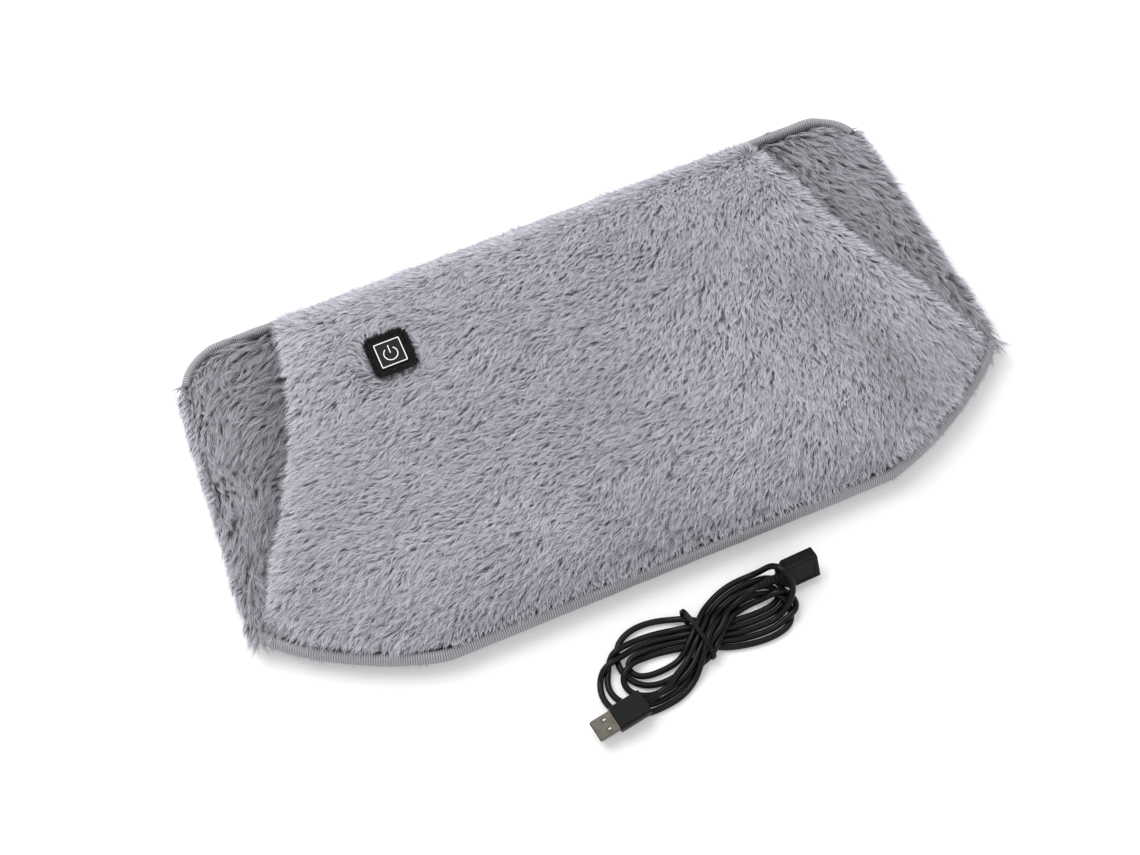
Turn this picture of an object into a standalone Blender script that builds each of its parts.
"""Heated waist belt with a hand-warming pouch and its extension cable, at real size.

The belt lies on its closed wings with the pouch upwards. +X runs along the belt to its
right end, +Y to its top edge, and +Z up out of the pouch's front. The origin lies on the
surface below the middle of the belt. Sizes are in millimetres and meshes are in metres.
"""
from math import atan2, cos, hypot, pi, radians, sin, sqrt

import bmesh
import bpy
from mathutils import Matrix, Vector

MM = 0.001

# Outline of the belt, from its middle
BELT_HALF = 226.0
TOP_HALF = 213.0
BELT_HEIGHT = 220.0
TOP_Y = BELT_HEIGHT / 2.0
BOTTOM_Y = -BELT_HEIGHT / 2.0
DIAGONAL_RISE = 54.0
FOLD_LOW_Y = BOTTOM_Y + DIAGONAL_RISE
BOTTOM_HALF = 132.0
TOP_CORNER_RADIUS = 24.0
DIAGONAL_SHAPE = 1.35

# Openings of the hand pouch, from the top edge down to the end folds
OPENING_TOP_HALF = 150.0
OPENING_LOW_HALF = 217.0
OPENING_LOW_STEP = 1.0
OPENING_LOW_Y = FOLD_LOW_Y + OPENING_LOW_STEP
OPENING_CURVE = 1.8

# Cloth layers
PLUSH = 3.2
LINING = 1.2
BASE_WADDING = 4.0
FRONT_WADDING = 5.0
FRONT_PLUSH = 3.6
LAYER_GAP = 0.5
PLUSH_GAP = 0.95
CLEARANCE = 0.3
WADDING_INSET = 9.0
LINING_INSET = 3.0

# Hand pouch
POUCH_RISE = 18.0
POUCH_SHOULDER = 45.0
SEAM_BAND = 4.0
PINCH_BAND = 22.0
PINCH_SHARE = 0.15

# Grid of the cloth solids
COLUMN_HALF = 124.0
COLUMNS_EACH_SIDE = 3
COLUMN_SETBACK = 26.0
LAST_ROW_INSET = 10.0
LAST_ROW = TOP_Y - LAST_ROW_INSET
ROW_PITCH_SHARE = 0.15
ROWS_EACH_SIDE = 6
EDGE_ROW = 3.5
EDGE_BAND = 16.0
EDGE_ROUNDING = 7.0
EDGE_THICKNESS_SHARE = 0.45

# Wings that fold behind the belt
WING_ROOT_INSET = (12.0, 10.0)
WING_TIP_INSET = (36.0, 38.0)
WING_ROOT_TOP_Y = TOP_Y - WING_ROOT_INSET[0]
WING_ROOT_LOW_Y = FOLD_LOW_Y + WING_ROOT_INSET[1]
WING_TIP_TOP_Y = TOP_Y - WING_TIP_INSET[0]
WING_TIP_LOW_Y = FOLD_LOW_Y + WING_TIP_INSET[1]
WING_OVERLAP_HALF = 20.0
WING_STEP_START = 24.0
WING_STEP_END = 50.0
BASE_STEP_START = 42.0
BASE_STEP_END = 132.0
BASE_STEP_TOP_INSET = 24.0
BASE_STEP_TOP_END_INSET = 2.0
BASE_STEP_LOW_INSET = 24.0
BASE_STEP_LOW_END_INSET = 6.0
BASE_STEP_TOP_Y = TOP_Y - BASE_STEP_TOP_INSET
BASE_STEP_TOP_END = TOP_Y - BASE_STEP_TOP_END_INSET
BASE_STEP_LOW_Y = FOLD_LOW_Y + BASE_STEP_LOW_INSET
BASE_STEP_LOW_END = BOTTOM_Y + BASE_STEP_LOW_END_INSET
WING_ROWS = 7
WING_COLUMN_SHARES = (0.0, 0.03, 0.2, 0.4, 0.6, 0.68, 0.71, 0.74, 0.77, 0.8, 0.83, 0.97, 1.0)

# Hook and loop closure
STRIP_THICKNESS = 1.0
STRIP_LENGTH = 34.0
STRIP_INSET = 12.0
STRIP_TOP_Y = WING_TIP_TOP_Y - STRIP_INSET
STRIP_LOW_Y = WING_TIP_LOW_Y + STRIP_INSET

# Rib-knit binding
BINDING_WIDTH = 4.4
BINDING_HEIGHT = 12.5
WING_BINDING_WIDTH = 4.0
BINDING_SIDES = 8
BINDING_PITCH = 18.0
BINDING_SIDE_STEPS = 12
BINDING_END_SETBACK = 5.0

# Power switch in the front panel
SWITCH_X = -101.0
SWITCH_INSET = 56.5
SWITCH_Y = TOP_Y - SWITCH_INSET
SWITCH_HOUSING = 26.0
SWITCH_HOUSING_HEIGHT = 5.0
SWITCH_WALL = 1.4
SWITCH_FLOOR = 1.2
SWITCH_LEDGE = 2.0
SWITCH_LEDGE_HEIGHT = 1.4
SWITCH_CORNER = 2.5
COVER_PAD = 22.0
COVER_FLANGE = 1.0
COVER_TOP_PROUD = 0.6
BUTTON = 16.8
BUTTON_LIP = 1.3
BUTTON_LIP_HEIGHT = 0.6
BUTTON_PROUD = 0.5
BUTTON_TRAVEL = 0.6
BUTTON_STEM_RADIUS = 1.8
BUTTON_STEM_SIDES = 16
BUTTON_CORNER = 1.6
BOARD_THICKNESS = 1.0
DOME_RADIUS = 3.0
DOME_HEIGHT = 0.9
CHIP = (5.0, 4.0, 0.8)
LED = (1.6, 0.9, 0.6)
LED_OFFSET = 4.5
MARK_THICKNESS = 0.3
MARK_GAP = 0.1
MARK_LINE = 0.55
MARK_FRAME = 15.4
MARK_RING_RADIUS = 4.0
MARK_RING_GAP = 70.0
MARK_RING_STEPS = 18
MARK_BAR = 5.0
MARK_BAR_RISE = 2.4

# Heating element between the pouch lining and the wadding
PAD_THICKNESS = 0.6
PAD_HALF_LENGTH = 120.0
PAD_INSET = (74.0, 44.0)
PAD_TOP_Y = TOP_Y - PAD_INSET[0]
PAD_LOW_Y = BOTTOM_Y + PAD_INSET[1]
WIRE_DIAMETER = 0.8
WIRE_PITCH = 14.0
WIRE_MARGIN = 8.0
WIRE_BEND_POINTS = 5
HEATER_SPACE = 2.1
LEAD_DIAMETER = 1.2
LEAD_SPACING = 6.0
LEAD_STEPS = 3
CUTOUT = (12.0, 6.0, 3.0)
CUTOUT_X = 60.0
CUTOUT_Y = -20.0
SENSOR = (5.0, 3.0, 2.0)
SENSOR_X = -40.0
SENSOR_Y = -10.0
SENSOR_CORNER_SHARE = 0.2
POCKET_UNDERCUT = 1.0
GROMMET_X = -132.0
GROMMET_INSET = 70.0
GROMMET_Y = TOP_Y - GROMMET_INSET
GROMMET_SIDES = 16
GROMMET_FLANGE_RADIUS = 4.5
GROMMET_NECK_RADIUS = 2.9
GROMMET_BORE_RADIUS = 1.7
GROMMET_FLANGE = 0.9
SUPPLY_LEAD_WIDTH = 2.6
SUPPLY_LEAD_THICKNESS = 1.2
SUPPLY_LEAD_STEPS = 4

# Extension cable: cord and hank
CORD_DIAMETER = 3.6
CORD_SIDES_RESOLUTION = 1
ROUTE_PITCH_SHARE = 1.6
SMALLEST_SPAN = 0.0001
HANK_X = -5.0
HANK_DROP = 43.3
HANK_Y = BOTTOM_Y - HANK_DROP
HANK_TILT = 8.5
HANK_REACH = 51.0
HANK_REACH_SKEW = -3.5
HANK_LOBE = 15.5
HANK_LOBE_SKEW = -1.2
HANK_LOOPS = 5
HANK_LOOP_POINTS = 24
HANK_STEP = 4.3
HANK_LAYER_GAP = 0.95
HANK_CROSSING_HALF = 15.6
HANK_CLIMB = 11.0
HANK_TIE_HALF = 12.0
HANK_OVERRUN = 0.12
TURN_STEP = 0.001
TIE_WIDTH = 2.4
TIE_THICKNESS = 0.9

# Cord between the hank and its two ends, from the hank's middle, each with its height
PLUG_TAIL = ((-22.5, -22.9, 8.4), (-12.0, -21.3, 8.0))
SOCKET_TAIL = ((3.5, 16.9, 9.0), (10.0, 19.4, 11.3), (19.0, 18.8, 11.6), (29.0, 15.3, 10.8))

# Plug on the cable's one end, its tip measured from the hank's middle
PLUG_TIP = (-73.0, -29.9)
PLUG_TURN = 9.0
PLUG_Z = 8.1
PLUG_SHELL = (12.4, 12.0, 4.5)
PLUG_SHELL_WALL = 0.4
PLUG_BODY = (19.0, 14.6, 8.0)
PLUG_BODY_CORNER = 1.6
PLUG_TONGUE_THICKNESS = 1.8
PLUG_RELIEF = 9.0
PLUG_RELIEF_RADII = (3.0, 2.3)

# Socket on its other end, its mouth measured from the hank's middle
SOCKET_MOUTH = (78.6, 11.3)
SOCKET_TURN = 2.0
SOCKET_ROLL = -62.0
SOCKET_Z = 9.9
SOCKET_BODY = (18.5, 16.4, 8.8)
SOCKET_BODY_CORNER = 1.4
SOCKET_POCKET = (13.6, 13.2, 5.8)
SOCKET_SHELL_WALL = 0.4
SOCKET_TONGUE_THICKNESS = 1.9
SOCKET_TAPER = 5.0
SOCKET_TAPER_SHARES = (0.5, 0.75)
SOCKET_RELIEF = 12.0
SOCKET_RELIEF_RADII = (3.0, 2.3)
SOCKET_RECESS_DEPTH = 0.4
SOCKET_RECESS_MARGIN = 2.2
GROOVE_WIDTH = 0.6
GROOVE_DEPTH = 0.4
GROOVE_PITCH = 1.5
GROOVE_START_SHARE = 0.45
GROOVES = 3
RELIEF_RIBS = 5
RELIEF_RIB_DEPTH_SHARE = 0.16
RELIEF_SIDES = 14

# Contacts shared by plug and socket
CONTACT_PITCH = 2.3
CONTACT_WIDTH = 1.1
CONTACT_LENGTH = 7.5
CONTACT_THICKNESS = 0.2
CONTACT_GAP = 0.1
CONTACTS = 4

# Heights of the layers, worked out from their thicknesses
WING_TOP = PLUSH + LAYER_GAP + LINING
STRIP_STACK = 2.0 * (CLEARANCE + STRIP_THICKNESS)
WING_STEP_RISE = WING_TOP + STRIP_STACK + CLEARANCE
BASE_BOTTOM = WING_TOP + CLEARANCE
BASE_PLUSH_BOTTOM = BASE_BOTTOM + LINING + BASE_WADDING + 2.0 * LAYER_GAP
BASE_TOP = BASE_PLUSH_BOTTOM + PLUSH
POUCH_BOTTOM = BASE_TOP + LAYER_GAP


def clear_scene():
    """Removes every object that the opened file holds."""
    for old in list(bpy.data.objects):
        bpy.data.objects.remove(old, do_unlink=True)


def material(name, colour, roughness, metallic=0.0):
    """Returns a plain surface with one colour."""
    made = bpy.data.materials.new(name)
    made.use_nodes = True
    shader = made.node_tree.nodes["Principled BSDF"]
    shader.inputs["Base Color"].default_value = (*colour, 1.0)
    shader.inputs["Roughness"].default_value = roughness
    shader.inputs["Metallic"].default_value = metallic
    made.diffuse_color = (*colour, 1.0)
    return made


GREY_PLUSH = (0.352, 0.347, 0.386)
GREY_KNIT = (0.36, 0.355, 0.39)
GREY_LINING = (0.30, 0.30, 0.33)
WADDING_WHITE = (0.80, 0.80, 0.78)
BLACK_RUBBER = (0.012, 0.012, 0.014)
BLACK_PLASTIC = (0.02, 0.02, 0.022)
WHITE_MARK = (0.88, 0.88, 0.88)
BOARD_GREEN = (0.02, 0.16, 0.07)
STEEL = (0.42, 0.41, 0.38)
GOLD = (0.75, 0.55, 0.20)
COPPER = (0.55, 0.25, 0.12)
FILM = (0.45, 0.28, 0.10)


def finish(obj, colour, roughness, metallic=0.0, smooth=True):
    """Gives an object its own material and its shading."""
    obj.data.materials.clear()
    obj.data.materials.append(material(obj.name, colour, roughness, metallic))
    if smooth and obj.type == "MESH":
        obj.data.shade_smooth()
        obj.data.set_sharp_from_angle(angle=radians(35.0))
    return obj


def add_mesh(name, points, faces):
    """Makes a mesh object from points in millimetres."""
    mesh = bpy.data.meshes.new(name)
    mesh.from_pydata([tuple(c * MM for c in p) for p in points], [], faces)
    mesh.update()
    obj = bpy.data.objects.new(name, mesh)
    bpy.context.collection.objects.link(obj)
    return obj


def face_outwards(obj):
    """Turns all faces of a closed mesh outwards."""
    work = bmesh.new()
    work.from_mesh(obj.data)
    bmesh.ops.recalc_face_normals(work, faces=work.faces)
    work.to_mesh(obj.data)
    work.free()
    return obj


def cutter(obj):
    """Marks an object as a shape that only cuts others."""
    obj.hide_render = True
    obj.display_type = "WIRE"
    return obj


def cut(obj, tool, operation="DIFFERENCE"):
    """Cuts or joins a shape with an exact boolean."""
    step = obj.modifiers.new("shape", "BOOLEAN")
    step.operation = operation
    step.object = cutter(tool)
    step.solver = "EXACT"
    return obj


def place(obj, matrix):
    """Moves a mesh's points by a matrix given in millimetres."""
    scaled = matrix.copy()
    scaled.translation = matrix.translation * MM
    obj.data.transform(scaled)
    return obj


def rounded_outline(width, depth, corner, arc_points=4):
    """Returns a rectangle's corners, rounded, around the origin."""
    points = []
    for quarter, (side_x, side_y) in enumerate(((1, 1), (-1, 1), (-1, -1), (1, -1))):
        for i in range(arc_points):
            turn = pi / 2.0 * (quarter + i / (arc_points - 1))
            points.append((side_x * (width / 2.0 - corner) + corner * cos(turn),
                           side_y * (depth / 2.0 - corner) + corner * sin(turn)))
    return points


def stacked(name, outlines):
    """Makes a closed solid through outlines of equal point counts, each with its height."""
    points, faces = [], []
    count = len(outlines[0][0])
    for outline, height in outlines:
        points += [(x, y, height) for x, y in outline]
    for level in range(len(outlines) - 1):
        low, high = level * count, (level + 1) * count
        for i in range(count):
            j = (i + 1) % count
            faces.append((low + i, low + j, high + j, high + i))
    faces.append(tuple(reversed(range(count))))
    faces.append(tuple(range(len(points) - count, len(points))))
    return face_outwards(add_mesh(name, points, faces))


def rounded_block(name, size, corner, low, middle=(0.0, 0.0)):
    """Makes an upright block with rounded vertical corners."""
    outline = [(x + middle[0], y + middle[1]) for x, y in rounded_outline(size[0], size[1], corner)]
    return stacked(name, [(outline, low), (outline, low + size[2])])


def turned(name, profile, sides=20):
    """Turns a profile of (radius, height) pairs, ordered upwards, about +Z."""
    rings = []
    turns = [2.0 * pi * i / sides for i in range(sides)]
    for radius, height in profile:
        rings.append(([(radius * cos(turn), radius * sin(turn)) for turn in turns], height))
    return stacked(name, rings)


def sweep(name, path, width, height, sides=8):
    """Makes a closed oval strip along a path; its width lies flat, across the path."""
    points, faces = [], []
    for i, spot in enumerate(path):
        before, after = path[max(i - 1, 0)], path[min(i + 1, len(path) - 1)]
        along = (Vector(after) - Vector(before)).normalized()
        across = Vector((along.y, -along.x, 0.0)).normalized()
        up = across.cross(along).normalized()
        for k in range(sides):
            turn = 2.0 * pi * (k + 0.5) / sides
            sideways, upwards = across * (width / 2.0 * cos(turn)), up * (height / 2.0 * sin(turn))
            points.append(tuple(Vector(spot) + sideways + upwards))
    for i in range(len(path) - 1):
        for k in range(sides):
            n = (k + 1) % sides
            faces.append((i * sides + k, i * sides + n, (i + 1) * sides + n, (i + 1) * sides + k))
    faces.append(tuple(reversed(range(sides))))
    faces.append(tuple(range(len(points) - sides, len(points))))
    return face_outwards(add_mesh(name, points, faces))


def cord(name, path, diameter, resolution):
    """Makes a round cord as a curve with filled ends."""
    data = bpy.data.curves.new(name, "CURVE")
    data.dimensions = "3D"
    data.bevel_depth = diameter / 2.0 * MM
    data.bevel_resolution = resolution
    data.use_fill_caps = True
    spline = data.splines.new("POLY")
    spline.points.add(len(path) - 1)
    for point, spot in zip(spline.points, path):
        point.co = (*(c * MM for c in spot), 1.0)
    obj = bpy.data.objects.new(name, data)
    bpy.context.collection.objects.link(obj)
    return obj


def smooth_step(share):
    """Rises evenly from 0 to 1 with level ends."""
    held = min(max(share, 0.0), 1.0)
    return 0.5 - 0.5 * cos(pi * held)


def fold_line(y):
    """Returns the distance from the middle to the end fold at a height on the belt."""
    share = (TOP_Y - y) / (TOP_Y - FOLD_LOW_Y)
    return TOP_HALF + (BELT_HALF - TOP_HALF) * share


def half_width(y):
    """Returns the belt's half width, with its rounded top corner and its lower diagonal."""
    if y > TOP_Y - TOP_CORNER_RADIUS:
        rise = y - (TOP_Y - TOP_CORNER_RADIUS)
        inward = TOP_CORNER_RADIUS - sqrt(max(TOP_CORNER_RADIUS ** 2 - rise ** 2, 0.0))
        return fold_line(y) - inward
    if y >= FOLD_LOW_Y:
        return fold_line(y)
    share = (FOLD_LOW_Y - y) / (FOLD_LOW_Y - BOTTOM_Y)
    bow = max(1.0 - share ** DIAGONAL_SHAPE, 0.0) ** (1.0 / DIAGONAL_SHAPE)
    return BOTTOM_HALF + (BELT_HALF - BOTTOM_HALF) * bow


def front_half_width(y):
    """Returns the front panel's half width: the opening's edge, then the belt's outline."""
    if y >= OPENING_LOW_Y:
        share = max(TOP_Y - y, 0.0) / (TOP_Y - OPENING_LOW_Y)
        return OPENING_TOP_HALF + (OPENING_LOW_HALF - OPENING_TOP_HALF) * share ** OPENING_CURVE
    return half_width(y) - (half_width(OPENING_LOW_Y) - OPENING_LOW_HALF)


def base_lift(x, y):
    """Returns how far the rear layers rise over the wings' overlap."""
    along = 1.0 - smooth_step((abs(x) - BASE_STEP_START) / (BASE_STEP_END - BASE_STEP_START))
    above = 1.0 - smooth_step((y - BASE_STEP_TOP_Y) / (BASE_STEP_TOP_END - BASE_STEP_TOP_Y))
    below = 1.0 - smooth_step((BASE_STEP_LOW_Y - y) / (BASE_STEP_LOW_Y - BASE_STEP_LOW_END))
    return WING_STEP_RISE * along * above * below


def segment_distance(x, y, start, end):
    """Returns the distance from a point to a straight seam."""
    dx, dy = end[0] - start[0], end[1] - start[1]
    share = ((x - start[0]) * dx + (y - start[1]) * dy) / (dx * dx + dy * dy)
    held = min(max(share, 0.0), 1.0)
    return hypot(x - start[0] - dx * held, y - start[1] - dy * held)


def pouch_bottom(x, y):
    """Returns the height of the pouch lining's lower face."""
    side = abs(x)
    low_corner = (OPENING_LOW_HALF, OPENING_LOW_Y)
    seams = ((TOP_Y - y), (y - BOTTOM_Y),
             segment_distance(side, y, low_corner, (BOTTOM_HALF, BOTTOM_Y)))
    rise = sin(pi / 2.0 * min(max(min(seams) - SEAM_BAND, 0.0) / POUCH_SHOULDER, 1.0))
    lift = base_lift(x, y)
    return POUCH_BOTTOM + lift + (POUCH_RISE - lift) * rise


def row_heights(top, bottom, inset):
    """Returns the rows of a cloth solid: rows that all layers share, between its own edges."""
    pitch = ROW_PITCH_SHARE * LAST_ROW
    shared = [LAST_ROW] + [pitch * i for i in range(ROWS_EACH_SIDE, -ROWS_EACH_SIDE - 1, -1)] + [-LAST_ROW]
    rows = [top] + [y for y in shared if bottom + CLEARANCE < y < top - CLEARANCE] + [bottom]
    if inset < CLEARANCE:
        rows[1:1] = [top - EDGE_ROW]
        rows[-1:-1] = [bottom + EDGE_ROW]
    return rows


def column_places(edge, inset):
    """Returns one row's columns: columns that all layers share, up to the layer's own edge."""
    inner = min(COLUMN_HALF, edge - COLUMN_SETBACK)
    right = [inner * i / COLUMNS_EACH_SIDE for i in range(COLUMNS_EACH_SIDE + 1)]
    right += [(inner + edge - EDGE_BAND) / 2.0, edge - EDGE_BAND]
    if inset < CLEARANCE:
        right.append(edge - EDGE_ROW)
    right.append(edge - inset)
    return [-x for x in reversed(right[1:])] + right


def edge_share(inward):
    """Returns the thickness share at a distance from a layer's edge, rounded off there."""
    left = 1.0 - min(max(inward, 0.0) / EDGE_ROUNDING, 1.0)
    return EDGE_THICKNESS_SHARE + (1.0 - EDGE_THICKNESS_SHARE) * sqrt(1.0 - left * left)


def grid_solid(name, grid, low, high):
    """Makes a closed solid between two heights over a grid of (x, y) rows."""
    rows, columns = len(grid), len(grid[0])
    points = [(x, y, high(x, y, i, j)) for i, row in enumerate(grid) for j, (x, y) in enumerate(row)]
    points += [(x, y, low(x, y, i, j)) for i, row in enumerate(grid) for j, (x, y) in enumerate(row)]
    below = rows * columns
    faces = []
    for i in range(rows - 1):
        for j in range(columns - 1):
            a, b = i * columns + j, i * columns + j + 1
            c, d = a + columns, b + columns
            faces += [(a, b, c), (b, d, c),
                      (below + a, below + c, below + b), (below + b, below + c, below + d)]
    rim = [j for j in range(columns)]
    rim += [i * columns + columns - 1 for i in range(1, rows)]
    rim += [(rows - 1) * columns + j for j in range(columns - 2, -1, -1)]
    rim += [i * columns for i in range(rows - 2, 0, -1)]
    for here, there in zip(rim, rim[1:] + rim[:1]):
        faces.append((here, below + here, below + there, there))
    return face_outwards(add_mesh(name, points, faces))


def even(x, y):
    """Returns the fullness of a layer that isn't drawn together anywhere."""
    return 1.0


def cloth(name, edge, inset, end_inset, low, thickness, fullness=even):
    """Makes one cloth layer that thins towards its edges."""
    top, bottom = TOP_Y - end_inset, BOTTOM_Y + end_inset
    grid = [[(x, y) for x in column_places(edge(y), inset)] for y in row_heights(top, bottom, inset)]

    def over(x, y, i, j):
        inward = min(edge(y) - inset - abs(x), top - y, y - bottom)
        return low(x, y) + thickness * min(edge_share(inward), fullness(x, y))

    return grid_solid(name, grid, lambda x, y, i, j: low(x, y), over)


def make_rear_layers():
    """Makes the layers between the wearer and the hands."""
    def lining_low(x, y):
        return BASE_BOTTOM + base_lift(x, y)

    def wadding_low(x, y):
        return lining_low(x, y) + LINING + LAYER_GAP

    finish(cloth("rear_lining", half_width, WADDING_INSET, LINING_INSET, lining_low, LINING),
           GREY_LINING, 0.9)
    finish(cloth("base_wadding", half_width, WADDING_INSET, LINING_INSET, wadding_low, BASE_WADDING),
           WADDING_WHITE, 1.0)

    grid = []
    for y in row_heights(TOP_Y, BOTTOM_Y, 0.0):
        half = half_width(y)
        inner = column_places(half, WADDING_INSET - 2.0 * CLEARANCE)
        grid.append([(-half, y)] + [(x, y) for x in inner] + [(half, y)])
    last = len(grid[0]) - 1

    def under(x, y, i, j):
        return (BASE_BOTTOM if j in (0, last) else BASE_PLUSH_BOTTOM) + base_lift(x, y)

    def over(x, y, i, j):
        inward = min(half_width(y) - abs(x), TOP_Y - y, y - BOTTOM_Y)
        return BASE_PLUSH_BOTTOM + base_lift(x, y) + PLUSH * edge_share(inward)

    finish(grid_solid("base_plush", grid, under, over), GREY_PLUSH, 0.95)


def pinch(x, y):
    """Returns how full the front panel is, drawn together at its seams and edges."""
    inward = min(front_half_width(y) - abs(x), TOP_Y - y, y - BOTTOM_Y)
    return PINCH_SHARE + (1.0 - PINCH_SHARE) * sin(pi / 2.0 * min(max(inward, 0.0) / PINCH_BAND, 1.0))


def film_bottom(x, y):
    """Returns the height of the heating film's lower face."""
    return pouch_bottom(x, y) + LINING + LAYER_GAP


def front_wadding_bottom(x, y):
    """Returns the height of the front wadding's lower face, above the heating element."""
    return film_bottom(x, y) + HEATER_SPACE * pinch(x, y)


def front_plush_bottom(x, y):
    """Returns the height of the front plush's lower face."""
    return front_wadding_bottom(x, y) + FRONT_WADDING * pinch(x, y) + PLUSH_GAP


def switch_floor():
    """Returns the height of the switch housing's underside, clear of the lining below it."""
    highest = max(pouch_bottom(SWITCH_X, SWITCH_Y - SWITCH_HOUSING / 2.0),
                  pouch_bottom(SWITCH_X, SWITCH_Y + SWITCH_HOUSING / 2.0))
    return highest + LINING + CLEARANCE


def make_front_layers():
    """Makes the pouch's front panel, from its lining to its plush."""
    lining = cloth("pouch_lining", front_half_width, LINING_INSET, LINING_INSET, pouch_bottom, LINING)
    finish(lining, GREY_LINING, 0.9)
    hole_radius = GROMMET_NECK_RADIUS + CLEARANCE
    hole = turned("lining_hole", [(hole_radius, -POUCH_RISE), (hole_radius, POUCH_RISE)])
    place(hole, Matrix.Translation((GROMMET_X, GROMMET_Y, pouch_bottom(GROMMET_X, GROMMET_Y))))
    cut(lining, hole)

    wadding = cloth("front_wadding", front_half_width, WADDING_INSET, LINING_INSET,
                    front_wadding_bottom, FRONT_WADDING, pinch)
    finish(wadding, WADDING_WHITE, 1.0)
    pocket = SWITCH_HOUSING + 2.0 * CLEARANCE
    cut(wadding, rounded_block("wadding_switch_hole", (pocket, pocket, 4.0 * POUCH_RISE), SWITCH_CORNER,
                               0.0, (SWITCH_X, SWITCH_Y)))

    plush = cloth("front_plush", front_half_width, 0.0, 0.0, front_plush_bottom, FRONT_PLUSH)
    finish(plush, GREY_PLUSH, 0.95)
    window = COVER_PAD + 2.0 * CLEARANCE
    cut(plush, rounded_block("plush_switch_hole", (window, window, 4.0 * POUCH_RISE), SWITCH_CORNER,
                             0.0, (SWITCH_X, SWITCH_Y)))


def make_heater():
    """Makes the heating film, its wire, its safety parts and its leads."""
    right = [COLUMN_HALF * i / COLUMNS_EACH_SIDE for i in range(COLUMNS_EACH_SIDE)] + [PAD_HALF_LENGTH]
    columns = [-x for x in reversed(right[1:])] + right
    grid = [[(x, y) for x in columns] for y in row_heights(PAD_TOP_Y, PAD_LOW_Y, LINING_INSET)]
    film = grid_solid("heating_film", grid, lambda x, y, i, j: film_bottom(x, y),
                      lambda x, y, i, j: film_bottom(x, y) + PAD_THICKNESS)
    finish(film, FILM, 0.5)

    wire_up = PAD_THICKNESS + CLEARANCE + WIRE_DIAMETER / 2.0
    reach = PAD_HALF_LENGTH - WIRE_MARGIN - WIRE_PITCH / 2.0
    runs = int((PAD_TOP_Y - PAD_LOW_Y - 2.0 * WIRE_MARGIN) // WIRE_PITCH) + 1
    route = []
    for run in range(runs):
        y = PAD_TOP_Y - WIRE_MARGIN - WIRE_PITCH * run
        side = -1.0 if run % 2 else 1.0
        for x in (-reach, *columns[1:-1], reach):
            route.append((side * x, y))
        if run < runs - 1:
            for i in range(1, WIRE_BEND_POINTS):
                turn = pi * i / WIRE_BEND_POINTS
                route.append((side * (reach + WIRE_PITCH / 2.0 * sin(turn)),
                              y - WIRE_PITCH / 2.0 * (1.0 - cos(turn))))
    wire = cord("heating_wire", [(x, y, film_bottom(x, y) + wire_up) for x, y in route], WIRE_DIAMETER, 0)
    finish(wire, COPPER, 0.4, 0.8)

    wire_top = PAD_THICKNESS + CLEARANCE + WIRE_DIAMETER
    for name, size, x, y, colour in (("thermal_cutout", CUTOUT, CUTOUT_X, CUTOUT_Y, STEEL),
                                     ("temperature_sensor", SENSOR, SENSOR_X, SENSOR_Y, BLACK_PLASTIC)):
        low = film_bottom(x, y) + wire_top + CLEARANCE
        corner = size[1] * SENSOR_CORNER_SHARE
        finish(rounded_block(name, size, corner, low, (x, y)), colour, 0.4)
        room = (size[0] + 2.0 * CLEARANCE, size[1] + 2.0 * CLEARANCE, size[2] + CLEARANCE + POCKET_UNDERCUT)
        cut(bpy.data.objects["front_wadding"],
            rounded_block(name + "_pocket", room, corner, low - POCKET_UNDERCUT, (x, y)))

    lead_up = LEAD_DIAMETER / 2.0
    start = SWITCH_Y - SWITCH_HOUSING / 2.0 - CLEARANCE
    end = PAD_TOP_Y + CLEARANCE
    for number, side in ((1, -1.0), (2, 1.0)):
        x = SWITCH_X + side * LEAD_SPACING / 2.0
        path = [(x, start + (end - start) * i / LEAD_STEPS) for i in range(LEAD_STEPS + 1)]
        lead = cord(f"heater_lead_{number}", [(x, y, film_bottom(x, y) + lead_up) for x, y in path],
                    LEAD_DIAMETER, 1)
        finish(lead, BLACK_RUBBER, 0.5)


def make_supply_outlet():
    """Makes the lead's grommet in the pouch lining and the lead from there to the switch."""
    low = pouch_bottom(GROMMET_X, GROMMET_Y)
    profile = [(GROMMET_FLANGE_RADIUS, -GROMMET_FLANGE - CLEARANCE), (GROMMET_FLANGE_RADIUS, -CLEARANCE),
               (GROMMET_NECK_RADIUS, -CLEARANCE), (GROMMET_NECK_RADIUS, LINING)]
    grommet = turned("outlet_grommet", profile, GROMMET_SIDES)
    place(grommet, Matrix.Translation((GROMMET_X, GROMMET_Y, low)))
    bore = turned("grommet_bore", [(GROMMET_BORE_RADIUS, -POUCH_RISE), (GROMMET_BORE_RADIUS, POUCH_RISE)],
                  GROMMET_SIDES)
    place(bore, Matrix.Translation((GROMMET_X, GROMMET_Y, low)))
    cut(grommet, bore)
    finish(grommet, BLACK_RUBBER, 0.6)
    up = LINING + LAYER_GAP + SUPPLY_LEAD_THICKNESS / 2.0
    end = SWITCH_X - SWITCH_HOUSING / 2.0 - 3.0 * CLEARANCE
    side = SWITCH_Y - SWITCH_HOUSING / 4.0
    shares = [i / SUPPLY_LEAD_STEPS for i in range(SUPPLY_LEAD_STEPS + 1)]
    path = [(GROMMET_X + (end - GROMMET_X) * share, GROMMET_Y + (side - GROMMET_Y) * share)
            for share in shares]
    lead = sweep("supply_lead", [(x, y, pouch_bottom(x, y) + up) for x, y in path],
                 SUPPLY_LEAD_WIDTH, SUPPLY_LEAD_THICKNESS)
    finish(lead, BLACK_RUBBER, 0.5)


def switch_square(side, corner):
    """Returns a rounded square around the switch's middle."""
    return [(x + SWITCH_X, y + SWITCH_Y) for x, y in rounded_outline(side, side, corner)]


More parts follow.
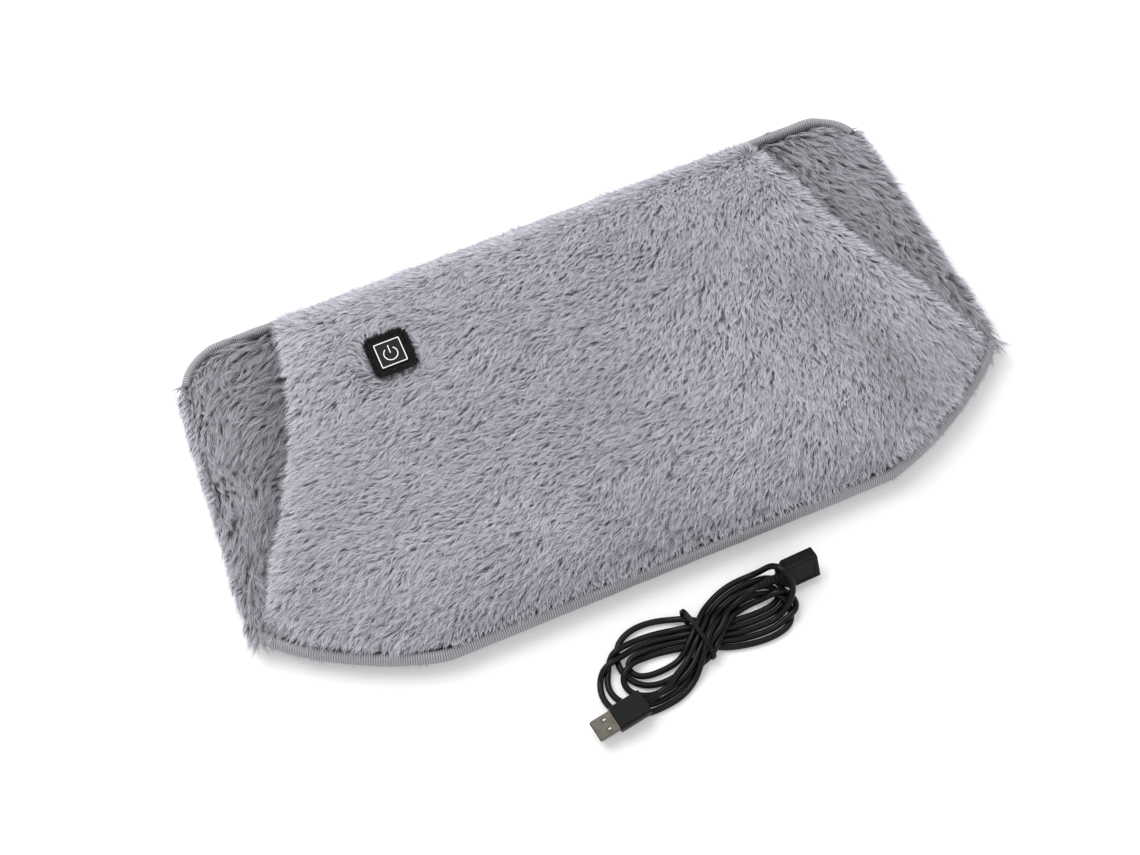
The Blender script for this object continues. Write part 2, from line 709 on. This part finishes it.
def make_switch():
    """Makes the switch housing, its board and parts, its cover and its button."""
    centre = (SWITCH_X, SWITCH_Y)
    floor = switch_floor()
    rim = floor + SWITCH_HOUSING_HEIGHT
    ledge = floor + SWITCH_FLOOR + SWITCH_LEDGE_HEIGHT
    housing = rounded_block("switch_housing", (SWITCH_HOUSING, SWITCH_HOUSING, SWITCH_HOUSING_HEIGHT),
                            SWITCH_CORNER, floor, centre)
    inside = SWITCH_HOUSING - 2.0 * SWITCH_WALL
    well = inside - 2.0 * SWITCH_LEDGE
    low_room, high_room = switch_square(well, SWITCH_WALL), switch_square(inside, SWITCH_WALL)
    room = stacked("housing_room", [(low_room, floor + SWITCH_FLOOR), (low_room, ledge),
                                    (high_room, ledge), (high_room, rim + SWITCH_WALL)])
    cut(housing, room)
    finish(housing, BLACK_PLASTIC, 0.5)

    board_low = ledge + CLEARANCE
    board_top = board_low + BOARD_THICKNESS
    board = inside - 2.0 * CLEARANCE
    finish(rounded_block("circuit_board", (board, board, BOARD_THICKNESS), SWITCH_WALL, board_low, centre),
           BOARD_GREEN, 0.5)
    chip_low = board_low - CLEARANCE - CHIP[2]
    finish(rounded_block("controller_chip", CHIP, CHIP[2] / 2.0, chip_low, centre), BLACK_PLASTIC, 0.5)
    dome_low = board_top + MARK_GAP
    dome = turned("dome_switch", [(DOME_RADIUS, dome_low), (DOME_RADIUS, dome_low + DOME_HEIGHT / 2.0),
                                  (DOME_RADIUS / 2.0, dome_low + DOME_HEIGHT)])
    place(dome, Matrix.Translation((SWITCH_X, SWITCH_Y, 0.0)))
    finish(dome, STEEL, 0.35, 0.9)
    for number, side in ((1, -1.0), (2, 0.0), (3, 1.0)):
        spot = (SWITCH_X + side * LED_OFFSET, SWITCH_Y + LED_OFFSET)
        led = rounded_block(f"indicator_led_{number}", LED, LED[1] / 4.0, dome_low, spot)
        finish(led, WHITE_MARK, 0.3)

    flange_low = rim + CLEARANCE
    flange_top = flange_low + COVER_FLANGE
    cover_top = front_plush_bottom(*centre) + FRONT_PLUSH + COVER_TOP_PROUD
    flange, pad = switch_square(SWITCH_HOUSING, SWITCH_CORNER), switch_square(COVER_PAD, SWITCH_CORNER)
    cover = stacked("switch_cover", [(flange, flange_low), (flange, flange_top),
                                     (pad, flange_top), (pad, cover_top)])
    opening = switch_square(BUTTON + 2.0 * CLEARANCE, BUTTON_CORNER)
    lip = BUTTON + 2.0 * BUTTON_LIP
    lip_room = switch_square(lip + 2.0 * CLEARANCE, BUTTON_CORNER)
    lip_top = flange_low + BUTTON_TRAVEL + BUTTON_LIP_HEIGHT
    cut(cover, stacked("cover_hole", [(lip_room, flange_low - SWITCH_WALL), (lip_room, lip_top + CLEARANCE),
                                      (opening, lip_top + CLEARANCE), (opening, cover_top + SWITCH_WALL)]))
    finish(cover, BLACK_RUBBER, 0.55)

    button_top = cover_top + BUTTON_PROUD
    stem_low = board_top + MARK_GAP + DOME_HEIGHT + BUTTON_TRAVEL + CLEARANCE / 2.0
    turns = [2.0 * pi * (i + 0.5) / BUTTON_STEM_SIDES for i in range(BUTTON_STEM_SIDES)]
    stem = [(BUTTON_STEM_RADIUS * cos(turn), BUTTON_STEM_RADIUS * sin(turn)) for turn in turns]
    lip_low = lip_top - BUTTON_LIP_HEIGHT
    lip_edge, edge = rounded_outline(lip, lip, BUTTON_CORNER), rounded_outline(BUTTON, BUTTON, BUTTON_CORNER)
    face = rounded_outline(BUTTON - BUTTON_PROUD, BUTTON - BUTTON_PROUD, BUTTON_CORNER)
    button = stacked("power_button", [(stem, stem_low), (stem, lip_low), (lip_edge, lip_low),
                                      (lip_edge, lip_top), (edge, lip_top),
                                      (edge, button_top - BUTTON_PROUD), (face, button_top)])
    place(button, Matrix.Translation((SWITCH_X, SWITCH_Y, 0.0)))
    finish(button, BLACK_RUBBER, 0.5)

    mark_low = button_top + MARK_GAP
    frame = rounded_block("mark_frame", (MARK_FRAME, MARK_FRAME, MARK_THICKNESS), MARK_LINE, mark_low, centre)
    inner = MARK_FRAME - 2.0 * MARK_LINE
    cut(frame, rounded_block("mark_frame_inside", (inner, inner, 3.0 * MARK_THICKNESS), MARK_LINE / 2.0,
                             mark_low - MARK_THICKNESS, centre))
    finish(frame, WHITE_MARK, 0.5)
    make_mark_ring(mark_low)
    bar = rounded_block("mark_bar", (MARK_LINE, MARK_BAR, MARK_THICKNESS), MARK_LINE / 4.0, mark_low,
                        (SWITCH_X, SWITCH_Y + MARK_BAR_RISE))
    finish(bar, WHITE_MARK, 0.5)


def make_mark_ring(low):
    """Makes the open ring of the generic power mark, its gap towards the top edge."""
    points, faces = [], []
    middle_y = SWITCH_Y - MARK_LINE
    start = pi / 2.0 + radians(MARK_RING_GAP) / 2.0
    turn = 2.0 * pi - radians(MARK_RING_GAP)
    for i in range(MARK_RING_STEPS + 1):
        here = start + turn * i / MARK_RING_STEPS
        for radius in (MARK_RING_RADIUS - MARK_LINE / 2.0, MARK_RING_RADIUS + MARK_LINE / 2.0):
            for height in (low, low + MARK_THICKNESS):
                points.append((SWITCH_X + radius * cos(here), middle_y + radius * sin(here), height))
    for i in range(MARK_RING_STEPS):
        a, b = 4 * i, 4 * (i + 1)
        faces += [(a, a + 1, b + 1, b), (a + 2, b + 2, b + 3, a + 3),
                  (a, b, b + 2, a + 2), (a + 1, a + 3, b + 3, b + 1)]
    last = 4 * MARK_RING_STEPS
    faces += [(0, 2, 3, 1), (last, last + 1, last + 3, last + 2)]
    finish(face_outwards(add_mesh("mark_ring", points, faces)), WHITE_MARK, 0.5)


def outline_path(points, offset):
    """Moves a path of (x, y) points sideways, to the left of its direction."""
    moved = []
    for i, (x, y) in enumerate(points):
        before, after = points[max(i - 1, 0)], points[min(i + 1, len(points) - 1)]
        dx, dy = after[0] - before[0], after[1] - before[1]
        length = hypot(dx, dy)
        moved.append((x - dy / length * offset, y + dx / length * offset))
    return moved


def make_bindings():
    """Makes the rib-knit strips that close the belt's top and bottom edges."""
    offset = CLEARANCE + BINDING_WIDTH / 2.0
    middle = BASE_BOTTOM + BINDING_HEIGHT / 2.0
    reach = half_width(TOP_Y) - BINDING_END_SETBACK
    count = int(2.0 * reach // BINDING_PITCH)
    top = [(-reach + 2.0 * reach * i / count, TOP_Y + offset) for i in range(count + 1)]
    finish(sweep("top_binding", [(x, y, middle + base_lift(x, y)) for x, y in top],
                 BINDING_WIDTH, BINDING_HEIGHT, BINDING_SIDES), GREY_KNIT, 0.9)

    start = FOLD_LOW_Y - BINDING_END_SETBACK
    rows = [start + (BOTTOM_Y - start) * sin(pi / 2.0 * i / BINDING_SIDE_STEPS)
            for i in range(BINDING_SIDE_STEPS)]
    side = [(half_width(y), y) for y in rows]
    count = int(2.0 * BOTTOM_HALF // BINDING_PITCH)
    flat = [(BOTTOM_HALF - 2.0 * BOTTOM_HALF * i / count, BOTTOM_Y) for i in range(count + 1)]
    route = side + flat + [(-x, y) for x, y in reversed(side)]
    low = outline_path(route, offset)
    finish(sweep("bottom_binding", [(x, y, middle + base_lift(x, y)) for x, y in low],
                 BINDING_WIDTH, BINDING_HEIGHT, BINDING_SIDES), GREY_KNIT, 0.9)


def wing_lift(x, side):
    """Returns how far a wing rises: only the right one steps up over the left one's tip."""
    if side < 0.0:
        return 0.0
    return WING_STEP_RISE * (1.0 - smooth_step((x - WING_STEP_START) / (WING_STEP_END - WING_STEP_START)))


def wing_place(side, along, across, inset):
    """Returns a wing's point from its share towards the tip and its share up the wing."""
    low = WING_ROOT_LOW_Y + (WING_TIP_LOW_Y - WING_ROOT_LOW_Y) * along + inset
    high = WING_ROOT_TOP_Y + (WING_TIP_TOP_Y - WING_ROOT_TOP_Y) * along - inset
    y = low + (high - low) * across
    root = side * (fold_line(y) - CLEARANCE)
    tip = -side * (WING_OVERLAP_HALF - inset)
    return root + (tip - root) * along, y


def make_wing(name, side):
    """Makes one wing: its plush outside, its lining, its binding and its closure strip."""
    def layer(node, low, thickness, inset, colour):
        grid = [[wing_place(side, along, i / (WING_ROWS - 1.0), inset) for i in range(WING_ROWS)]
                for along in WING_COLUMN_SHARES]
        made = grid_solid(node, grid, lambda x, y, i, j: low + wing_lift(x, side),
                          lambda x, y, i, j: low + thickness + wing_lift(x, side))
        return finish(made, colour, 0.95)

    layer(f"{name}_wing_plush", 0.0, PLUSH, 0.0, GREY_PLUSH)
    layer(f"{name}_wing_lining", PLUSH + LAYER_GAP, LINING, LINING_INSET, GREY_LINING)

    edge = [wing_place(side, along, 1.0, 0.0) for along in WING_COLUMN_SHARES[1:]]
    edge += [wing_place(side, along, 0.0, 0.0) for along in reversed(WING_COLUMN_SHARES[1:])]
    route = outline_path(edge, side * -(CLEARANCE + WING_BINDING_WIDTH / 2.0))
    strip = sweep(f"{name}_wing_binding", [(x, y, WING_TOP / 2.0 + wing_lift(x, side)) for x, y in route],
                  WING_BINDING_WIDTH, WING_TOP, BINDING_SIDES)
    finish(strip, GREY_KNIT, 0.9)


def make_closure():
    """Makes the hook strip on the left wing's tip and the loop strip on the right one's."""
    middle = (STRIP_TOP_Y + STRIP_LOW_Y) / 2.0
    size = (STRIP_LENGTH, STRIP_TOP_Y - STRIP_LOW_Y, STRIP_THICKNESS)
    hook_low = WING_TOP + CLEARANCE
    finish(rounded_block("hook_strip", size, STRIP_THICKNESS, hook_low, (0.0, middle)), BLACK_PLASTIC, 0.8)
    loop_low = hook_low + STRIP_THICKNESS + CLEARANCE
    finish(rounded_block("loop_strip", size, STRIP_THICKNESS, loop_low, (0.0, middle)), GREY_LINING, 0.95)


def hank_point(turn, offset):
    """Returns a point of the figure-eight hank, moved sideways by an offset."""
    def base(t):
        x = cos(t) * (HANK_REACH + HANK_REACH_SKEW * cos(t))
        y = -sin(2.0 * t) * (HANK_LOBE + HANK_LOBE_SKEW * cos(t))
        return Vector((x, y))

    here = base(turn)
    along = (base(turn + TURN_STEP) - base(turn - TURN_STEP)).normalized()
    moved = here + Vector((-along.y, along.x)) * offset
    tilt = radians(HANK_TILT)
    x = HANK_X + moved.x * cos(tilt) - moved.y * sin(tilt)
    y = HANK_Y + moved.x * sin(tilt) + moved.y * cos(tilt)
    upper = sin(turn) < 0.0
    over_tie = smooth_step((HANK_TIE_HALF + HANK_CLIMB - abs(moved.x)) / HANK_CLIMB)
    low = CORD_DIAMETER / 2.0 + (TIE_THICKNESS + CLEARANCE) * over_tie
    layer = CORD_DIAMETER + HANK_LAYER_GAP
    slope = atan2(2.0 * HANK_LOBE, HANK_REACH)
    apart = abs(moved.x * sin(slope) + moved.y * cos(slope))
    share = smooth_step((HANK_CROSSING_HALF + HANK_CLIMB - apart) / HANK_CLIMB)
    return x, y, low + (layer * share if upper else 0.0)


def plug_frame():
    """Returns the plug's own frame: X from its tip to its cord, Z up."""
    turn = Matrix.Rotation(radians(PLUG_TURN), 4, "Z")
    return Matrix.Translation((HANK_X + PLUG_TIP[0], HANK_Y + PLUG_TIP[1], PLUG_Z)) @ turn


def socket_frame():
    """Returns the socket's own frame: X from its mouth to its cord, Z out of its wide face."""
    turn = Matrix.Rotation(radians(180.0 + SOCKET_TURN), 4, "Z")
    roll = Matrix.Rotation(radians(SOCKET_ROLL), 4, "X")
    return Matrix.Translation((HANK_X + SOCKET_MOUTH[0], HANK_Y + SOCKET_MOUTH[1], SOCKET_Z)) @ turn @ roll


def plug_cord_end():
    """Returns how far the plug's pieces and their gaps reach from its tip."""
    return PLUG_SHELL[0] + PLUG_BODY[0] + PLUG_RELIEF + 3.0 * CLEARANCE


def socket_cord_end():
    """Returns how far the socket's pieces and their gaps reach from its mouth."""
    return SOCKET_BODY[0] + SOCKET_TAPER + SOCKET_RELIEF + 2.0 * CLEARANCE


def smooth_route(points, pitch):
    """Returns evenly spaced points on a smooth curve through the route's own points."""
    spots = [Vector(p) for p in points]
    spots = [spots[0] * 2.0 - spots[1]] + spots + [spots[-1] * 2.0 - spots[-2]]
    fine = []
    for a, b, c, d in zip(spots, spots[1:], spots[2:], spots[3:]):
        count = max(2, int((c - b).length / pitch * 4.0))
        for i in range(count):
            t = i / count
            fine.append(0.5 * (2.0 * b + (c - a) * t + (2.0 * a - 5.0 * b + 4.0 * c - d) * t ** 2
                               + (3.0 * b - a - 3.0 * c + d) * t ** 3))
    fine.append(spots[-2])
    lengths = [0.0]
    for a, b in zip(fine, fine[1:]):
        lengths.append(lengths[-1] + (b - a).length)
    total = lengths[-1]
    count = max(2, round(total / pitch))
    picked, spot = [], 0
    for i in range(count + 1):
        want = total * i / count
        while spot < len(fine) - 2 and lengths[spot + 1] < want:
            spot += 1
        span = max(lengths[spot + 1] - lengths[spot], SMALLEST_SPAN)
        picked.append(tuple(fine[spot].lerp(fine[spot + 1], (want - lengths[spot]) / span)))
    return picked


def beyond(points, here, there):
    """Returns the points that lie further from there than here does, by more than a cord."""
    reach = (Vector(here) - Vector(there)).length + CORD_DIAMETER
    return [p for p in points if (Vector(p) - Vector(there)).length > reach]


def cable_route():
    """Returns the cord's path from the plug through the hank's loops to the socket."""
    plug, socket = plug_frame(), socket_frame()
    plug_end = plug @ Vector((plug_cord_end(), 0.0, 0.0))
    plug_run = plug @ Vector((plug_cord_end() + CORD_DIAMETER, 0.0, 0.0))
    socket_end = socket @ Vector((socket_cord_end(), 0.0, 0.0))
    socket_run = socket @ Vector((socket_cord_end() + CORD_DIAMETER, 0.0, 0.0))
    start = 1.5 * pi - HANK_OVERRUN
    end = start + 2.0 * pi * HANK_LOOPS + 2.0 * HANK_OVERRUN
    steps = round((end - start) / (2.0 * pi) * HANK_LOOP_POINTS)
    loops = []
    for i in range(steps + 1):
        turn = start + (end - start) * i / steps
        done = (turn - start) / (end - start)
        offset = HANK_STEP * HANK_LOOPS * (done - 0.5)
        loops.append(hank_point(turn, offset))
    pitch = ROUTE_PITCH_SHARE * CORD_DIAMETER
    plug_tail, socket_tail = ([(HANK_X + x, HANK_Y + y, z) for x, y, z in tail]
                              for tail in (PLUG_TAIL, SOCKET_TAIL))
    head = smooth_route([plug_run, *plug_tail, loops[0], loops[1]], pitch)
    tail = smooth_route([loops[-2], loops[-1], *socket_tail, socket_run], pitch)
    return [tuple(plug_end), *beyond(head, loops[0], loops[1]), *loops,
            *beyond(tail, loops[-1], loops[-2]), tuple(socket_end)]


def make_cable():
    """Makes the cord from the plug to the socket, wound into its hank."""
    finish(cord("cable_hank", cable_route(), CORD_DIAMETER, CORD_SIDES_RESOLUTION), BLACK_RUBBER, 0.4)


def lengthwise():
    """Returns the matrix that lays an upright shape's Z along X."""
    return Matrix(((0.0, 0.0, 1.0, 0.0), (1.0, 0.0, 0.0, 0.0), (0.0, 1.0, 0.0, 0.0), (0.0, 0.0, 0.0, 1.0)))


def block(name, size, corner, frame, middle):
    """Makes a block in a connector's frame, its length along X and rounded about X."""
    outline = rounded_outline(size[1], size[2], corner, 3)
    made = stacked(name, [(outline, 0.0), (outline, size[0])])
    place(made, frame @ Matrix.Translation(middle) @ lengthwise())
    return made


def make_relief(name, frame, start, length, radii):
    """Makes a ribbed strain relief along a connector's X."""
    steps = 2 * RELIEF_RIBS
    profile = []
    for i in range(steps + 1):
        radius = radii[0] + (radii[1] - radii[0]) * i / steps
        if i % 2 and i < steps:
            radius *= 1.0 - RELIEF_RIB_DEPTH_SHARE
        profile.append((radius, start + length * i / steps))
    made = turned(name, profile, RELIEF_SIDES)
    place(made, frame @ lengthwise())
    finish(made, BLACK_RUBBER, 0.5)


def make_contacts(name, frame, start, height, under):
    """Makes the four contacts on a tongue."""
    for number in range(CONTACTS):
        across = CONTACT_PITCH * (number - (CONTACTS - 1) / 2.0)
        low = height + CONTACT_GAP if not under else height - CONTACT_GAP - CONTACT_THICKNESS
        made = block(f"{name}_contact_{number + 1}", (CONTACT_LENGTH, CONTACT_WIDTH, CONTACT_THICKNESS),
                     CONTACT_THICKNESS / 4.0, frame, (start, across, low + CONTACT_THICKNESS / 2.0))
        finish(made, GOLD, 0.3, 1.0)


def make_plug():
    """Makes the plug: its hollow shell, tongue, contacts, moulded body and strain relief."""
    frame = plug_frame()
    length, width, height = PLUG_SHELL
    shell = block("plug_shell", PLUG_SHELL, PLUG_SHELL_WALL, frame, (0.0, 0.0, 0.0))
    hollow = block("plug_shell_hollow",
                   (length + PLUG_SHELL_WALL, width - 2.0 * PLUG_SHELL_WALL, height - 2.0 * PLUG_SHELL_WALL),
                   PLUG_SHELL_WALL / 2.0, frame, (-2.0 * PLUG_SHELL_WALL, 0.0, 0.0))
    cut(shell, hollow)
    finish(shell, STEEL, 0.35, 1.0)
    tongue_width = width - 2.0 * PLUG_SHELL_WALL - 2.0 * CLEARANCE
    tongue_z = -height / 2.0 + PLUG_SHELL_WALL + MARK_GAP + PLUG_TONGUE_THICKNESS / 2.0
    tongue_length = length - 3.0 * PLUG_SHELL_WALL - CLEARANCE
    finish(block("plug_tongue", (tongue_length, tongue_width, PLUG_TONGUE_THICKNESS), PLUG_SHELL_WALL / 2.0,
                 frame, (2.0 * PLUG_SHELL_WALL, 0.0, tongue_z)), BLACK_PLASTIC, 0.5)
    make_contacts("plug", frame, 4.0 * PLUG_SHELL_WALL, tongue_z + PLUG_TONGUE_THICKNESS / 2.0, False)
    start = length + CLEARANCE
    finish(block("plug_body", PLUG_BODY, PLUG_BODY_CORNER, frame, (start, 0.0, 0.0)), BLACK_RUBBER, 0.45)
    make_relief("plug_relief", frame, start + PLUG_BODY[0] + CLEARANCE, PLUG_RELIEF, PLUG_RELIEF_RADII)


def make_socket():
    """Makes the socket: its moulded body, shell, tongue, contacts and strain relief."""
    frame = socket_frame()
    length, width, height = SOCKET_BODY
    wide = rounded_outline(width, height, SOCKET_BODY_CORNER, 3)
    narrow = [(x * SOCKET_TAPER_SHARES[0], y * SOCKET_TAPER_SHARES[1]) for x, y in wide]
    body = stacked("socket_body", [(wide, 0.0), (wide, length), (narrow, length + SOCKET_TAPER)])
    place(body, frame @ lengthwise())
    room = (SOCKET_POCKET[0] + SOCKET_SHELL_WALL, SOCKET_POCKET[1] + 2.0 * MARK_GAP,
            SOCKET_POCKET[2] + 2.0 * MARK_GAP)
    cut(body, block("socket_pocket", room, SOCKET_SHELL_WALL, frame, (-SOCKET_SHELL_WALL, 0.0, 0.0)))
    recess_length = length - 2.0 * SOCKET_RECESS_MARGIN
    recess_width = width - 2.0 * SOCKET_RECESS_MARGIN
    recess = block("socket_recess", (recess_length, recess_width, 2.0 * SOCKET_RECESS_DEPTH),
                   SOCKET_RECESS_DEPTH / 2.0, frame, (SOCKET_RECESS_MARGIN, 0.0, height / 2.0))
    cut(body, recess)
    for number in range(GROOVES):
        along = length * GROOVE_START_SHARE + GROOVE_PITCH * number
        groove = block(f"socket_groove_{number + 1}", (GROOVE_WIDTH, 2.0 * GROOVE_DEPTH, height / 2.0),
                       GROOVE_DEPTH / 4.0, frame, (along, width / 2.0, 0.0))
        cut(body, groove)
    finish(body, BLACK_RUBBER, 0.45)

    shell_length, shell_width, shell_height = SOCKET_POCKET
    shell = block("socket_shell", (shell_length - CLEARANCE, shell_width, shell_height), SOCKET_SHELL_WALL,
                  frame, (0.0, 0.0, 0.0))
    inside = (shell_length, shell_width - 2.0 * SOCKET_SHELL_WALL, shell_height - 2.0 * SOCKET_SHELL_WALL)
    cut(shell, block("socket_shell_hollow", inside, SOCKET_SHELL_WALL / 2.0, frame,
                     (-CLEARANCE - 2.0 * SOCKET_SHELL_WALL, 0.0, 0.0)))
    finish(shell, STEEL, 0.35, 1.0)
    tongue_width = shell_width - 2.0 * SOCKET_SHELL_WALL - 4.0 * CLEARANCE
    tongue_start = 2.0 * SOCKET_SHELL_WALL
    tongue_length = shell_length - 2.0 * CLEARANCE - 4.0 * SOCKET_SHELL_WALL
    tongue_z = shell_height / 2.0 - SOCKET_SHELL_WALL - CLEARANCE - SOCKET_TONGUE_THICKNESS / 2.0
    tongue_size = (tongue_length, tongue_width, SOCKET_TONGUE_THICKNESS)
    finish(block("socket_tongue", tongue_size, SOCKET_SHELL_WALL / 2.0, frame, (tongue_start, 0.0, tongue_z)),
           BLACK_PLASTIC, 0.5)
    make_contacts("socket", frame, tongue_start + SOCKET_SHELL_WALL,
                  tongue_z - SOCKET_TONGUE_THICKNESS / 2.0, True)
    make_relief("socket_relief", frame, length + SOCKET_TAPER + CLEARANCE, SOCKET_RELIEF, SOCKET_RELIEF_RADII)


def make_tie():
    """Makes the flat tie around the hank's waist."""
    slope = atan2(2.0 * HANK_LOBE, HANK_REACH)
    bundle = (HANK_STEP * HANK_LOOPS / 2.0 + CORD_DIAMETER / 2.0) / cos(slope)
    wide = 2.0 * (bundle + TIE_WIDTH * sin(slope) + 2.0 * CLEARANCE)
    high = 2.0 * CORD_DIAMETER + HANK_LAYER_GAP + 2.0 * CLEARANCE
    outer = rounded_outline(wide + 2.0 * TIE_THICKNESS, high + 2.0 * TIE_THICKNESS, CORD_DIAMETER)
    inner = rounded_outline(wide, high, CORD_DIAMETER - TIE_THICKNESS)
    band = stacked("cable_tie", [(outer, -TIE_WIDTH / 2.0), (outer, TIE_WIDTH / 2.0)])
    hole = stacked("cable_tie_hole", [(inner, -TIE_WIDTH), (inner, TIE_WIDTH)])
    turn = Matrix.Rotation(radians(HANK_TILT), 4, "Z")
    where = Matrix.Translation((HANK_X, HANK_Y, high / 2.0 + TIE_THICKNESS)) @ turn @ lengthwise()
    place(band, where)
    place(hole, where)
    cut(band, hole)
    finish(band, BLACK_RUBBER, 0.5)


def main():
    """Builds the whole belt and its cable."""
    clear_scene()
    make_rear_layers()
    make_front_layers()
    make_heater()
    make_supply_outlet()
    make_switch()
    make_bindings()
    make_wing("left", -1.0)
    make_wing("right", 1.0)
    make_closure()
    make_cable()
    make_tie()
    make_plug()
    make_socket()


main()
